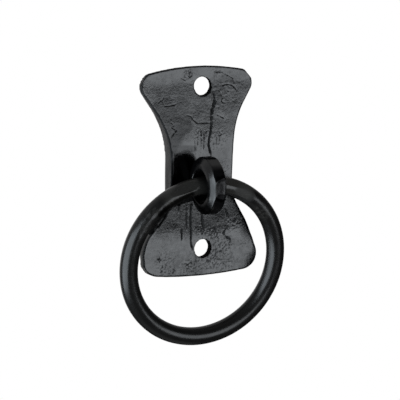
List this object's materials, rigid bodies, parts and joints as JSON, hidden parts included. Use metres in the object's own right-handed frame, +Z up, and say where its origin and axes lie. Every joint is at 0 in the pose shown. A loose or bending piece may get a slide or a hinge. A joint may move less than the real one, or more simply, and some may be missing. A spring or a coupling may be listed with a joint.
{
  "type": "ring pull handle",
  "caption": "Forged black iron ring pull: a waisted back plate with flared ends and plain screw holes carries a riveted eye, in which a round-bar ring swings to pull a drawer or door.",
  "frame": {"origin": "on the back face of the plate, midway between the two screw holes", "axes": "+Z up along the line of the screw holes, +Y into the surface that the plate is screwed to"},
  "size_m": [0.0576, 0.0236, 0.091],
  "materials": {
    "black_iron": "satin black on hammered iron"
  },
  "bodies": {
    "mounting": {"back_plate": "black_iron", "ring_eye": "black_iron"},
    "ring": {"pull_ring": "black_iron"}
  },
  "joints": [
    {"name": "ring_swing", "type": "hinge", "parent": "mounting", "child": "ring", "pos_m": [-0.00315, -0.01255, -0.00385], "axis": [-0.9989, 0.0462, 0], "range_deg": [-1.5, 198]}
  ]
}
